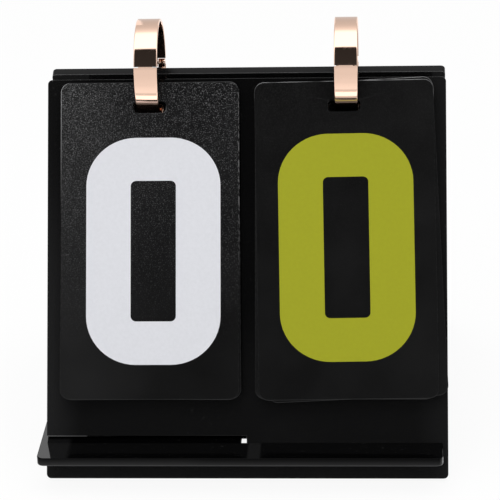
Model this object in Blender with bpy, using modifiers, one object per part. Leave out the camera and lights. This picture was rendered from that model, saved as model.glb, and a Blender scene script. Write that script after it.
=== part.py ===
# Flip scoreboard: two leaning acrylic panels joined by a lapped tray, with ten number cards
# hanging from a hinged ring on each side. Metres, +Z up, -Y is the side that is looked at.
import math

import bpy
import bmesh
from mathutils import Matrix, Vector

# Panels and tray, cut from one thickness of sheet
PANEL_WIDTH = 0.140
PANEL_HEIGHT = 0.140
PANEL_CORNER = 0.0016
SHEET = 0.003
LEAN = math.radians(26)
APEX_GAP = 0.007
TRAY_WIDTH = 0.140
TRAY_TOP = 0.0132
TRAY_OVERHANG = 0.0135
TRAY_CORNER = 0.0025
TRAY_PULL = 0.002
LAP_CLEARANCE = 0.0003
LAP_END_CLEARANCE = 0.00005
LAP_TOP_CLEARANCE = 0.00015
LAP_RELIEF = 0.0031

# Rings, each a flat band in two halves
RING_OUTER = 0.0174
RING_THICKNESS = 0.001
RING_WIDTH = 0.0082
RING_EDGE = 0.0004
RING_RISE = 0.0034
RING_TILT = math.radians(12)
SNAP_RISE = math.radians(7)
SPLIT_GAP = 0.0003
BARREL_ROOM = 0.00023
BARREL_RADIUS = 0.0015
BARREL_INSET = 0.00027
BARREL_MIDDLE = 0.0022
PIN_RADIUS = 0.0005
PIN_CLEARANCE = 0.0001
PIN_PROUD = 0.0001
TONGUE_WIDTH = 0.005
TONGUE_LENGTH = 0.0016
TONGUE_THICKNESS = 0.00035
TONGUE_INSET = 0.00005
TONGUE_CLEARANCE = 0.00025

# Cards
CARD_COUNT = 10
CARD_WIDTH = 0.0624
CARD_LIFT = 0.01487
CARD_SPACE = 0.0066
CARD_CORNER = 0.0034
CARD_SHEET = 0.0002
CARD_GAP = 0.00027
CARD_STRIP = 0.0065
SLOT_SIDE_CLEARANCE = 0.00165
SLOT_ROOM = 0.0032
RING_SLOT_CORNER = 0.0015
RING_CLEARANCE = 0.0006

# How the loose pieces happen to hang: sideways drift, and the turn of each card in its own
# plane, from the front card to the one against the panel
CARD_DRIFT = {"left": 0.001, "right": -0.0001}
RING_DRIFT = {"left": 0.0002, "right": 0.0007}
CARD_TURNS_DEG = {
    "left": (0.0, 0.4, -0.2, 0.3, -0.3, 0.2, 0.0, -0.2, 0.1, 0.0),
    "right": (0.75, 2.6, 0.9, 0.4, 0.6, 0.1, 0.3, -0.1, 0.2, 0.0),
}

# Building
OVERRUN = 0.002
MERGE = 0.000001
CORNER_STEPS = 5
RING_STEPS = 48
RING_EDGE_STEPS = 3
BARREL_STEPS = 24

RING_INNER = RING_OUTER - RING_THICKNESS
RING_SPACING = (CARD_WIDTH + CARD_SPACE) / 2
RING_SLOT_WIDTH = RING_WIDTH + 2 * SLOT_SIDE_CLEARANCE
RING_SLOT_HEIGHT = RING_THICKNESS + SLOT_ROOM
BARREL_LENGTH = RING_WIDTH - 2 * BARREL_INSET
COS_LEAN = math.cos(LEAN)
SIN_LEAN = math.sin(LEAN)
AXIS_HEIGHT = PANEL_HEIGHT * COS_LEAN + RING_RISE
PANEL_OUT = SHEET + APEX_GAP / 2 * COS_LEAN - RING_RISE * SIN_LEAN
PANEL_TOP = APEX_GAP / 2 * SIN_LEAN + RING_RISE * COS_LEAN
PANEL_X = TRAY_PULL / 2
TRAY_X = -TRAY_PULL / 2
CARD_PITCH = CARD_SHEET + CARD_GAP
CARD_BACK = PANEL_OUT + LAP_CLEARANCE
CARD_FRONT = CARD_BACK + (CARD_COUNT - 1) * CARD_PITCH + CARD_SHEET
BARREL_REACH = (RING_INNER + RING_OUTER) / 2


def slope_run(offset, height):
    """Distance down a leaning plane, from beside the ring axis to a height above the table."""
    return (AXIS_HEIGHT - height + offset * SIN_LEAN) / COS_LEAN


def slope_reach(offset, height):
    """Distance of a leaning plane from the middle of the stand at a height above the table."""
    return (offset + (AXIS_HEIGHT - height) * SIN_LEAN) / COS_LEAN


def clear_scene():
    for old in list(bpy.data.objects):
        bpy.data.objects.remove(old, do_unlink=True)


def make_collection(name):
    collection = bpy.data.collections.new(name)
    bpy.context.scene.collection.children.link(collection)
    return collection


def make_material(name, colour, roughness, metallic):
    material = bpy.data.materials.new(name)
    material.use_nodes = True
    shader = material.node_tree.nodes["Principled BSDF"]
    shader.inputs["Base Color"].default_value = (*colour, 1.0)
    shader.inputs["Roughness"].default_value = roughness
    shader.inputs["Metallic"].default_value = metallic
    return material


def add_object(name, data, collection, material=None):
    made = bpy.data.objects.new(name, data)
    collection.objects.link(made)
    if material and not data.materials:
        data.materials.append(material)
    return made


def add_empty(name, collection, matrix):
    empty = add_object(name, None, collection)
    empty.matrix_world = matrix
    return empty


def rounded_corners(width, height, corner, steps, middle=(0.0, 0.0)):
    """Points of a rectangle whose corners are arcs, anticlockwise from the right side."""
    points = []
    for turn, (sx, sy) in enumerate(((1, 1), (-1, 1), (-1, -1), (1, -1))):
        centre_x = middle[0] + sx * (width / 2 - corner)
        centre_y = middle[1] + sy * (height / 2 - corner)
        for step in range(steps + 1):
            angle = math.pi / 2 * (turn + step / steps)
            x = centre_x + corner * math.cos(angle)
            points.append((x, centre_y + corner * math.sin(angle)))
    return points


def sheet_mesh(name, outline, thickness):
    """A flat plate inside an outline, lying on XY about its own middle."""
    curve = bpy.data.curves.new(name, "CURVE")
    curve.dimensions = "2D"
    curve.fill_mode = "BOTH"
    curve.extrude = thickness / 2
    spline = curve.splines.new("POLY")
    spline.points.add(len(outline) - 1)
    spline.use_cyclic_u = True
    for point, (x, y) in zip(spline.points, outline):
        point.co = (x, y, 0.0, 1.0)
    shape = bpy.data.objects.new(name + "_curve", curve)
    bpy.context.scene.collection.objects.link(shape)
    mesh = evaluated_mesh(shape, name)
    bpy.data.objects.remove(shape, do_unlink=True)
    return mesh


def evaluated_mesh(shape, name):
    """A plain mesh of an object as its modifiers leave it, with doubled points merged."""
    graph = bpy.context.evaluated_depsgraph_get()
    mesh = bpy.data.meshes.new_from_object(shape.evaluated_get(graph))
    mesh.name = name
    work = bmesh.new()
    work.from_mesh(mesh)
    bmesh.ops.remove_doubles(work, verts=work.verts, dist=MERGE)
    bmesh.ops.recalc_face_normals(work, faces=work.faces)
    work.to_mesh(mesh)
    work.free()
    return mesh


def box_mesh(name, low, high):
    work = bmesh.new()
    bmesh.ops.create_cube(work, size=1.0)
    size = Vector(high) - Vector(low)
    middle = (Vector(high) + Vector(low)) / 2
    bmesh.ops.transform(
        work, matrix=Matrix.Translation(middle) @ Matrix.Diagonal((*size, 1.0)), verts=work.verts
    )
    mesh = bpy.data.meshes.new(name)
    work.to_mesh(mesh)
    work.free()
    return mesh


def bar_mesh(name, radius, length, middle):
    """A round bar along X about a middle point."""
    work = bmesh.new()
    bmesh.ops.create_cone(
        work,
        cap_ends=True,
        segments=BARREL_STEPS,
        radius1=radius,
        radius2=radius,
        depth=length,
        matrix=Matrix.Translation(middle) @ Matrix.Rotation(math.pi / 2, 4, "Y"),
    )
    mesh = bpy.data.meshes.new(name)
    work.to_mesh(mesh)
    work.free()
    return mesh


def shade_round(mesh):
    mesh.shade_smooth()
    mesh.set_sharp_from_angle(angle=math.radians(40))


class Stand:
    """The collections, finishes and shared shapes that the pieces are made from."""

    def __init__(self):
        self.parts = make_collection("flip_scoreboard")
        self.cutters = make_collection("cutters")
        self.acrylic = make_material("black_acrylic", (0.010, 0.010, 0.011), 0.08, 0.0)
        self.card_sheet = make_material("black_card_sheet", (0.016, 0.016, 0.017), 0.45, 0.0)
        self.band_metal = make_material("rose_gold", (0.83, 0.56, 0.45), 0.12, 1.0)

    def cut(self, target, mesh, operation="DIFFERENCE", parent=None):
        """Cuts a mesh from an object, or joins it on, keeping the cutter as a hidden object."""
        cutter = add_object(f"{target.name}_{mesh.name}", mesh, self.cutters)
        cutter.hide_render = True
        cutter.display_type = "WIRE"
        if parent:
            cutter.parent = parent
        modifier = target.modifiers.new(mesh.name, "BOOLEAN")
        modifier.operation = operation
        modifier.solver = "EXACT"
        modifier.object = cutter
        return cutter


def slope_matrix(side, offset):
    """Places a flat piece on a leaning plane: side -1 is the front, 1 the rear. Its own X runs
    along the ring axis, its Y up the slope, and offset is its distance from the ring axis."""
    turn = math.pi / 2 + side * LEAN
    axis = Matrix.Translation((PANEL_X, 0.0, AXIS_HEIGHT)) @ Matrix.Rotation(turn, 4, "X")
    return axis @ Matrix.Translation((0.0, 0.0, -side * offset))


def ring_slot_middle():
    """Distance from beside the ring axis to the middle of the panels' ring slots: the band
    hangs just clear of the slot's lower edge."""
    lowest = math.sqrt(RING_OUTER**2 - (PANEL_OUT - SHEET) ** 2)
    return lowest + RING_CLEARANCE - RING_SLOT_HEIGHT / 2


def ring_slot_mesh(name, thickness, x, y):
    """The cutter for a rounded slot that a ring passes through."""
    outline = rounded_corners(
        RING_SLOT_WIDTH, RING_SLOT_HEIGHT, RING_SLOT_CORNER, CORNER_STEPS, (x, y)
    )
    return sheet_mesh(name, outline, thickness + 2 * OVERRUN)


def make_panels(stand):
    middle = (0.0, -PANEL_TOP - PANEL_HEIGHT / 2)
    outline = rounded_corners(PANEL_WIDTH, PANEL_HEIGHT, PANEL_CORNER, CORNER_STEPS, middle)
    mesh = sheet_mesh("panel", outline, SHEET)
    top = slope_run(PANEL_OUT - SHEET, TRAY_TOP) - LAP_TOP_CLEARANCE
    bottom = slope_run(PANEL_OUT, TRAY_TOP - SHEET) + LAP_CLEARANCE
    low = (-PANEL_WIDTH / 2 - OVERRUN, -bottom, -SHEET / 2 - OVERRUN)
    high = (LAP_END_CLEARANCE, -top, SHEET / 2 + OVERRUN)
    for name, side in (("front_panel", -1), ("rear_panel", 1)):
        panel = add_object(name, mesh.copy(), stand.parts, stand.acrylic)
        panel.matrix_world = slope_matrix(side, PANEL_OUT - SHEET / 2)
        cutters = [stand.cut(panel, box_mesh("tray_slot", low, high))]
        for hole, sign in (("left_slot", -1), ("right_slot", 1)):
            slot = ring_slot_mesh(hole, SHEET, sign * RING_SPACING, -ring_slot_middle())
            cutters.append(stand.cut(panel, slot))
        for cutter in cutters:
            cutter.matrix_world = panel.matrix_world


def make_tray(stand):
    half_depth = slope_reach(PANEL_OUT, TRAY_TOP) + TRAY_OVERHANG
    outline = rounded_corners(TRAY_WIDTH, 2 * half_depth, TRAY_CORNER, CORNER_STEPS)
    tray = add_object("tray", sheet_mesh("tray", outline, SHEET), stand.parts, stand.acrylic)
    tray.location = (TRAY_X, 0.0, TRAY_TOP - SHEET / 2)
    near = slope_reach(PANEL_OUT - SHEET, TRAY_TOP) - LAP_CLEARANCE
    far = slope_reach(PANEL_OUT, TRAY_TOP - SHEET) + LAP_CLEARANCE
    for name, first, second in (("front_slot", -far, -near), ("rear_slot", near, far)):
        low = (-LAP_END_CLEARANCE, first, -SHEET / 2 - OVERRUN)
        high = (TRAY_WIDTH / 2 + OVERRUN, second, SHEET / 2 + OVERRUN)
        slot = stand.cut(tray, box_mesh(name, low, high))
        slot.location = tray.location
        # A short wide end to the slot, on the side of the middle of the stand
        inward = sorted((first, second), key=abs)[0]
        outer_side = inward + math.copysign(OVERRUN, inward)
        sides = sorted((outer_side, inward - math.copysign(LAP_RELIEF, inward)))
        low = (-LAP_END_CLEARANCE, sides[0], -SHEET / 2 - OVERRUN)
        high = (TRAY_PULL + LAP_END_CLEARANCE, sides[1], SHEET / 2 + OVERRUN)
        relief = stand.cut(tray, box_mesh(f"{name}_end", low, high))
        relief.location = tray.location


def card_slot_top():
    """Distance from beside the ring axis to the top of the cards' slots: the front card's
    slot hangs on the inside of the band."""
    return math.sqrt(RING_INNER**2 - CARD_FRONT**2) - RING_CLEARANCE


def card_height():
    """The front card reaches from its strip over the slot to a little above the tray."""
    return slope_run(CARD_FRONT, TRAY_TOP + CARD_LIFT) - card_slot_top() + CARD_STRIP


def make_cards(stand):
    card_middle = (0.0, RING_SLOT_HEIGHT / 2 + CARD_STRIP - card_height() / 2)
    outline = rounded_corners(CARD_WIDTH, card_height(), CARD_CORNER, CORNER_STEPS, card_middle)
    blank = add_object("card_blank", sheet_mesh("card", outline, CARD_SHEET), stand.cutters)
    stand.cut(blank, ring_slot_mesh("ring_slot", CARD_SHEET, 0.0, 0.0))
    mesh = evaluated_mesh(blank, "card")
    bpy.data.objects.remove(blank, do_unlink=True)
    for side, sign in (("left", -1), ("right", 1)):
        x = sign * RING_SPACING + CARD_DRIFT[side]
        axis = slope_matrix(-1, 0.0) @ Matrix.Translation((x, 0.0, 0.0))
        pivot = add_empty(f"{side}_card_axis", stand.parts, axis)
        for number in range(CARD_COUNT):
            card = add_object(f"{side}_card_{number}", mesh, stand.parts, stand.card_sheet)
            card.parent = pivot
            out = CARD_FRONT - CARD_SHEET / 2 - number * CARD_PITCH
            card.location = (0.0, -card_slot_top() - RING_SLOT_HEIGHT / 2, out)
            card.rotation_euler = (0.0, 0.0, math.radians(CARD_TURNS_DEG[side][number]))


def band_mesh():
    """The whole band, turned from its rounded section, with its axis along X."""
    section = rounded_corners(
        RING_OUTER - RING_INNER,
        RING_WIDTH,
        RING_EDGE,
        RING_EDGE_STEPS,
        ((RING_OUTER + RING_INNER) / 2, 0.0),
    )
    profile = bpy.data.meshes.new("band_profile")
    count = len(section)
    edges = [(index, (index + 1) % count) for index in range(count)]
    profile.from_pydata([(x, 0.0, z) for x, z in section], edges, [])
    shape = add_object("band_profile", profile, bpy.context.scene.collection)
    screw = shape.modifiers.new("turn", "SCREW")
    screw.axis = "Z"
    screw.angle = 2 * math.pi
    screw.steps = RING_STEPS
    screw.render_steps = RING_STEPS
    screw.use_merge_vertices = True
    screw.merge_threshold = MERGE
    mesh = evaluated_mesh(shape, "band")
    bpy.data.objects.remove(shape, do_unlink=True)
    mesh.transform(Matrix.Rotation(math.pi / 2, 4, "Y"))
    return mesh


def half_space(name, sign, end):
    """A block over one side of a split plane, short of it by half the gap on the far side. End
    1 is the hinge's end of the ring and -1 the snap's, and the two blocks overlap between."""
    reach = BARREL_REACH + BARREL_RADIUS + OVERRUN
    y_ends = sorted((end * reach, -end * RING_INNER / 2))
    z_ends = sorted((-sign * SPLIT_GAP / 2, sign * reach))
    low = (-RING_WIDTH / 2 - OVERRUN, y_ends[0], z_ends[0])
    high = (RING_WIDTH / 2 + OVERRUN, y_ends[1], z_ends[1])
    return box_mesh(name, low, high)


def hinge_bar(name, radius, ends):
    """A round bar on the hinge's axis between two places along it."""
    first, second = ends
    return bar_mesh(name, radius, second - first, ((first + second) / 2, BARREL_REACH, 0.0))


def fit_hinge(stand, half, own, pivot):
    """Adds a half's own barrels, cuts room for the other half's, and bores the pin hole. The
    lower half has the two outer barrels, and the upper half the one between them."""
    inner = BARREL_MIDDLE / 2
    outer = BARREL_LENGTH / 2
    beyond = RING_WIDTH / 2 + OVERRUN
    near = inner + SPLIT_GAP
    barrels = {"lower": ((-outer, -near), (near, outer)), "upper": ((-inner, inner),)}
    rooms = {
        "lower": ((-inner - BARREL_ROOM, inner + BARREL_ROOM),),
        "upper": ((-beyond, -near + BARREL_ROOM), (near - BARREL_ROOM, beyond)),
    }
    for index, ends in enumerate(rooms[own]):
        room = hinge_bar(f"room_{index}", BARREL_RADIUS + SPLIT_GAP, ends)
        stand.cut(half, room, parent=pivot)
    for index, ends in enumerate(barrels[own]):
        barrel = hinge_bar(f"barrel_{index}", BARREL_RADIUS, ends)
        stand.cut(half, barrel, "UNION", pivot)
    bore = bar_mesh(
        "pin_hole", PIN_RADIUS + PIN_CLEARANCE, RING_WIDTH + OVERRUN, (0.0, BARREL_REACH, 0.0)
    )
    stand.cut(half, bore, parent=pivot)


def fit_snap(stand, lower, upper, snap):
    """A tongue on the upper half's front end sits inside the lower half's thinned end."""
    outside = -RING_INNER - TONGUE_INSET
    low = (-TONGUE_WIDTH / 2, outside - TONGUE_THICKNESS, -TONGUE_LENGTH)
    high = (TONGUE_WIDTH / 2, outside, TONGUE_LENGTH / 2)
    stand.cut(upper, box_mesh("tongue", low, high), "UNION", snap)
    low = (low[0] - TONGUE_CLEARANCE, low[1] - TONGUE_CLEARANCE, low[2] - TONGUE_CLEARANCE)
    high = (TONGUE_WIDTH / 2 + TONGUE_CLEARANCE, outside + OVERRUN, TONGUE_LENGTH)
    stand.cut(lower, box_mesh("tongue_seat", low, high), parent=snap)


def make_ring(stand, side, sign, band):
    x = PANEL_X + sign * RING_SPACING + RING_DRIFT[side]
    axis = Matrix.Translation((x, 0.0, AXIS_HEIGHT)) @ Matrix.Rotation(-RING_TILT, 4, "X")
    pivot = add_empty(f"{side}_ring_axis", stand.parts, axis)
    raised = axis @ Matrix.Rotation(-SNAP_RISE, 4, "X")
    snap = add_empty(f"{side}_snap_axis", stand.parts, raised)
    halves = {}
    for half, away in (("lower", 1), ("upper", -1)):
        made = add_object(f"{side}_ring_{half}", band.copy(), stand.parts, stand.band_metal)
        made.parent = pivot
        stand.cut(made, half_space("beyond_hinge", away, 1), parent=pivot)
        stand.cut(made, half_space("beyond_snap", away, -1), parent=snap)
        fit_hinge(stand, made, half, pivot)
        halves[half] = made
    fit_snap(stand, halves["lower"], halves["upper"], snap)
    put_origin(halves["upper"], (0.0, BARREL_REACH, 0.0))
    pin_length = BARREL_LENGTH + 2 * PIN_PROUD
    pin = add_object(
        f"{side}_ring_pin",
        bar_mesh("pin", PIN_RADIUS, pin_length, (0.0, 0.0, 0.0)),
        stand.parts,
        stand.band_metal,
    )
    pin.parent = pivot
    pin.location = (0.0, BARREL_REACH, 0.0)
    shade_round(pin.data)


def put_origin(piece, place):
    """Moves an object's origin to a place in its parent's frame, and leaves its shape there."""
    piece.data.transform(Matrix.Translation(-Vector(place)))
    piece.location = place


def main():
    clear_scene()
    stand = Stand()
    make_panels(stand)
    make_tray(stand)
    band = band_mesh()
    shade_round(band)
    for side, sign in (("left", -1), ("right", 1)):
        make_ring(stand, side, sign, band)
    make_cards(stand)


main()
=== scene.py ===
import math

import bmesh
import bpy
from mathutils import Matrix, Vector


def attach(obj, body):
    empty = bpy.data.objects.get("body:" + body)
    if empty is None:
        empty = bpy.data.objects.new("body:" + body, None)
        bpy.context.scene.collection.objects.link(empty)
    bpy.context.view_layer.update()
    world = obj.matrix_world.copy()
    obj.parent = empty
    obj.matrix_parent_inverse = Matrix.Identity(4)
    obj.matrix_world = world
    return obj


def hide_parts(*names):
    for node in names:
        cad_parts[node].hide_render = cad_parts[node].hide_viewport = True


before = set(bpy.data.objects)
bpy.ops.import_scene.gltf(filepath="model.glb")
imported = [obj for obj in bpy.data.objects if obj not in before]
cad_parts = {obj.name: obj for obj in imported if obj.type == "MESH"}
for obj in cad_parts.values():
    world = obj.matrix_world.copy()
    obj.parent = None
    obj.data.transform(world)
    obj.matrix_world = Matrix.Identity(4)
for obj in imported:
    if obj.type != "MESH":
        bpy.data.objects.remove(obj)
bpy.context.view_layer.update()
print("frame loaded:", len(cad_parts), "nodes")

# Where everything hangs, in metres. The solids were made with the same numbers.
stand = {
    "lean": math.radians(26),
    "panelHeight": 0.140,
    "sheet": 0.003,
    "apexGap": 0.007,
    "ringRise": 0.0034,  # ring centre above the panels' inner top edges
    "spacing": 0.0345,  # ring slots from the middle of the panels
    "pull": 0.002,  # how far the tray is short of home
    "fit": 0.0003,
    "lapTop": 0.00015,
    "lapEnd": 0.00005,
    "slot": (0.0115, 0.0042, 0.0015),  # width, height and corner of a ring slot
    "slotFit": 0.0006,
    "cornerSteps": 6,
    "ringOuter": 0.0174,
    "ringInner": 0.0164,
    "overrun": 0.002,
    "smoothBelow": 20,  # degrees, for flat pieces
    "bevelAbove": 40,
    "bevelSteps": 2,
}
cosLean = math.cos(stand["lean"])
sinLean = math.sin(stand["lean"])
axisHeight = stand["panelHeight"] * cosLean + stand["ringRise"]
panelOut = stand["sheet"] + stand["apexGap"] / 2 * cosLean - stand["ringRise"] * sinLean
panelTop = stand["apexGap"] / 2 * sinLean + stand["ringRise"] * cosLean
panelX = stand["pull"] / 2


def slopePlace(side, offset):  # side -1 is the front slope and 1 the rear
    turned = Matrix.Rotation(math.pi / 2 + side * stand["lean"], 4, "X")
    axis = Matrix.Translation((panelX, 0, axisHeight)) @ turned
    return axis @ Matrix.Translation((0, 0, -side * offset))


def slopeRun(offset, height):
    return (axisHeight - height + offset * sinLean) / cosLean


def slopeReach(offset, height):
    return (offset + (axisHeight - height) * sinLean) / cosLean


# Nodes that work on numbers, and effects that more than one finish uses

def combine(tree, operation, first, second=0.0):
    node = tree.nodes.new("ShaderNodeMath")
    node.operation = operation
    for socket, value in zip(node.inputs, (first, second)):
        if isinstance(value, (int, float)):
            socket.default_value = value
        else:
            tree.links.new(value, socket)
    return node.outputs["Value"]


def ramp(tree, value, start, end, low=0.0, high=1.0, ease="SMOOTHSTEP"):
    node = tree.nodes.new("ShaderNodeMapRange")
    node.interpolation_type = ease
    for name, number in zip(("From Min", "From Max", "To Min", "To Max"), (start, end, low, high)):
        node.inputs[name].default_value = number
    tree.links.new(value, node.inputs["Value"])
    return node.outputs["Result"]


# A brightness that follows a table of (place, brightness), from the lowest place to the highest
def brightnessTable(tree, value, table):
    first, last = table[0][0], table[-1][0]
    node = tree.nodes.new("ShaderNodeValToRGB")
    stops = node.color_ramp.elements
    while len(stops) > 1:
        stops.remove(stops[0])
    for index, (place, bright) in enumerate(table):
        share = (place - first) / (last - first)
        stop = stops.new(share) if index else stops[0]
        stop.position = share
        stop.color = (bright, bright, bright, 1.0)
    tree.links.new(ramp(tree, value, first, last, ease="LINEAR"), node.inputs["Fac"])
    split = tree.nodes.new("ShaderNodeSeparateColor")
    tree.links.new(node.outputs["Color"], split.inputs["Color"])
    return split.outputs["Red"]


def newGroup(name, inputs, outputs):
    tree = bpy.data.node_groups.new(name, "ShaderNodeTree")
    for label, kind, value in inputs:
        socket = tree.interface.new_socket(label, in_out="INPUT", socket_type=kind)
        if value is not None:
            socket.default_value = value
    for label, kind in outputs:
        tree.interface.new_socket(label, in_out="OUTPUT", socket_type=kind)
    return tree, tree.nodes.new("NodeGroupInput"), tree.nodes.new("NodeGroupOutput")


def makeGrain():
    # A noise cut between two levels, for dust, sparkle, smudges and uneven ink
    tree, given, out = newGroup(
        "surfaceGrain",
        (
            ("Vector", "NodeSocketVector", None),
            ("Scale", "NodeSocketFloat", 1000.0),
            ("Detail", "NodeSocketFloat", 2.0),
            ("Low", "NodeSocketFloat", 0.4),
            ("High", "NodeSocketFloat", 0.6),
        ),
        (("Mask", "NodeSocketFloat"),),
    )
    noise = tree.nodes.new("ShaderNodeTexNoise")
    levels = tree.nodes.new("ShaderNodeMapRange")
    tree.links.new(given.outputs["Vector"], noise.inputs["Vector"])
    tree.links.new(given.outputs["Scale"], noise.inputs["Scale"])
    tree.links.new(given.outputs["Detail"], noise.inputs["Detail"])
    tree.links.new(noise.outputs["Fac"], levels.inputs["Value"])
    tree.links.new(given.outputs["Low"], levels.inputs["From Min"])
    tree.links.new(given.outputs["High"], levels.inputs["From Max"])
    tree.links.new(levels.outputs["Result"], out.inputs["Mask"])
    return tree


def makeScratches():
    # Long fine marks along one direction
    tree, given, out = newGroup(
        "fineScratches",
        (
            ("Vector", "NodeSocketVector", None),
            ("Along", "NodeSocketVector", (1.0, 1.0, 1.0)),
            ("Scale", "NodeSocketFloat", 1000.0),
        ),
        (("Height", "NodeSocketFloat"),),
    )
    stretch = tree.nodes.new("ShaderNodeVectorMath")
    stretch.operation = "MULTIPLY"
    noise = tree.nodes.new("ShaderNodeTexNoise")
    noise.inputs["Detail"].default_value = 3.0
    tree.links.new(given.outputs["Vector"], stretch.inputs[0])
    tree.links.new(given.outputs["Along"], stretch.inputs[1])
    tree.links.new(stretch.outputs["Vector"], noise.inputs["Vector"])
    tree.links.new(given.outputs["Scale"], noise.inputs["Scale"])
    tree.links.new(noise.outputs["Fac"], out.inputs["Height"])
    return tree


surfaceGrain = makeGrain()
fineScratches = makeScratches()


def product(tree, masks):
    whole = 1.0
    for mask in masks:
        whole = combine(tree, "MULTIPLY", mask, whole)
    return whole


def strongest(tree, masks):
    most = 0.0
    for mask in masks:
        most = combine(tree, "MAXIMUM", mask, most)
    return most


class Finish:  # a material being put together
    def __init__(self, name, colour, roughness, metallic=0.0, ior=1.5, shine=0.5):
        self.material = bpy.data.materials.new(name)
        self.material.use_nodes = True
        self.tree = self.material.node_tree
        self.nodes, self.links = self.tree.nodes, self.tree.links
        self.shader = self.nodes["Principled BSDF"]
        for socket, value in (
            ("Base Color", (*colour, 1.0)),
            ("Roughness", roughness),
            ("Metallic", metallic),
            ("IOR", ior),
            ("Specular IOR Level", shine),
        ):
            self.shader.inputs[socket].default_value = value
        self.where = self.nodes.new("ShaderNodeTexCoord").outputs["Object"]
        parts = self.nodes.new("ShaderNodeSeparateXYZ")
        self.links.new(self.where, parts.inputs["Vector"])
        self.axis = parts.outputs

    def group(self, tree, **values):
        node = self.nodes.new("ShaderNodeGroup")
        node.node_tree = tree
        self.links.new(self.where, node.inputs["Vector"])
        for name, value in values.items():
            node.inputs[name].default_value = value
        return node.outputs[0]

    def along(self, axis, start, end, high=1.0):  # eases from 0 to high along an axis
        return ramp(self.tree, self.axis[axis], start, end, 0.0, high)

    def within(self, limits):  # where all of several eases along axes hold
        return product(self.tree, [self.along(*limit) for limit in limits])

    def blendColour(self, mask, first, second):
        mix = self.nodes.new("ShaderNodeMix")
        mix.data_type = "RGBA"
        for socket, colour in (("A", first), ("B", second)):
            if isinstance(colour, tuple):
                mix.inputs[socket].default_value = (*colour, 1.0)
            else:
                self.links.new(colour, mix.inputs[socket])
        self.links.new(mask, mix.inputs["Factor"])
        return mix.outputs["Result"]

    def roughen(self, mask, least, most):
        value = ramp(self.tree, mask, 0.0, 1.0, least, most, "LINEAR")
        self.links.new(value, self.shader.inputs["Roughness"])

    def bump(self, height, distance):
        node = self.nodes.new("ShaderNodeBump")
        node.inputs["Distance"].default_value = distance
        self.links.new(height, node.inputs["Height"])
        self.links.new(node.outputs["Normal"], self.shader.inputs["Normal"])

    def colour(self, value):
        self.links.new(value, self.shader.inputs["Base Color"])


# Places in the looks are metres along an axis: where an effect starts, where it is full and,
# if that is less than 1, how strong it gets
acrylicLook = {
    "ior": 1.49,
    "roughness": (0.04, 0.11),
    "smudge": {"Scale": 45.0, "Detail": 4.0, "Low": 0.45, "High": 0.75},
    "dust": (0.013, 0.013, 0.013),
    "dustGrain": {"Scale": 900.0, "Detail": 1.0, "Low": 0.70, "High": 0.78},
    "cutRoughness": 0.22,
    "sawMarks": {"Along": (1.0, 0.12, 0.12), "Scale": 2600.0},
    "sawDepth": 0.00003,
}
panelLook = {
    "face": (0.0022, 0.0022, 0.0023),
    # painted sheen: the lighter colour that stands in for reflected light
    "paintedSheen": (0.0150, 0.0150, 0.0154),
    "cut": (0.004, 0.004, 0.0042),
    "cutShine": 0.11,
    "aside": (0.050, 0.070),
    "asideShare": 0.55,
    "lowLeft": (("Z", 0.11, 0.05), ("X", 0.0, -0.06, 0.4)),
    "highLeft": (("Z", 0.06, 0.11), ("X", 0.0, -0.06, 0.3)),
    "foot": ("Z", 0.06, 0.03, 0.26),
    "lowest": ("Z", 0.014, 0.009, 0.5),
    "rear": ("Y", 0.001, 0.003, 0.35),
    "paintedHighlight": (0.060, 0.060, 0.061),  # a painted highlight: a line along the rear panel's inner top edge
    "paintedHighlightLine": (("Z", 0.12550, 0.12560), ("Y", 0.0029, 0.0032), ("Y", 0.0042, 0.0040)),
}
trayLook = {
    "face": (0.0009, 0.0009, 0.0010),
    # painted reflection colour, at the tray's left end and round its slot ends
    "paintedSheen": (0.0078, 0.0078, 0.0080),
    "leftEnd": ("X", -0.0595, -0.0615, 0.8),
    "slotEnd": 0.0040,
    "slotReach": (0.0026, 0.0017),
    "cut": (0.0008, 0.0008, 0.0009),
    "cutShine": 0.05,
    # painted light: the cut's paler colour towards the underside
    "foot": (0.026, 0.026, 0.0265),
    "footRise": ("Z", 0.0136, 0.0101),
    "footEase": 1.6,
    # painted highlight along the cut's lower edge
    "paintedHighlight": (0.075, 0.075, 0.076),
    "paintedHighlightLine": ("Z", 0.01062, 0.01048),
}


def acrylicFace(name, look):
    roughness = acrylicLook["roughness"]
    face = Finish(name, look["face"], roughness[0], ior=acrylicLook["ior"])
    face.roughen(face.group(surfaceGrain, **acrylicLook["smudge"]), *roughness)
    return face


# Lays the painted sheen on the face colour, then real dust on top
def sheenedAndDusted(face, sheenMask, look):
    dust = face.group(surfaceGrain, **acrylicLook["dustGrain"])
    sheened = face.blendColour(sheenMask, look["face"], look["paintedSheen"])
    return face.blendColour(dust, sheened, acrylicLook["dust"])


def cutEdge(name, look):
    roughness, ior = acrylicLook["cutRoughness"], acrylicLook["ior"]
    edge = Finish(name, look["cut"], roughness, ior=ior, shine=look["cutShine"])
    edge.bump(edge.group(fineScratches, **acrylicLook["sawMarks"]), acrylicLook["sawDepth"])
    return edge


def makePanelAcrylic():
    # Painted sheen: lighter towards the sides and the foot, most at the left, and on the rear
    # panel's inner face, standing in for reflected light; real dust all over
    look = panelLook
    face = acrylicFace("panelAcrylic", look)
    tree = face.tree
    aside = ramp(tree, combine(tree, "ABSOLUTE", face.axis["X"]), *look["aside"])
    share = combine(tree, "ADD", face.within(look["lowLeft"]), look["asideShare"])
    share = combine(tree, "SUBTRACT", share, face.within(look["highLeft"]))
    foot = combine(tree, "ADD", face.along(*look["foot"]), face.along(*look["lowest"]))
    aside = combine(tree, "MULTIPLY", aside, share)
    sheenMask = strongest(tree, (aside, foot, face.along(*look["rear"])))
    plain = sheenedAndDusted(face, sheenMask, look)
    # Painted highlight along the rear panel's inner top edge
    face.colour(face.blendColour(face.within(look["paintedHighlightLine"]), plain, look["paintedHighlight"]))
    return face.material


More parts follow.
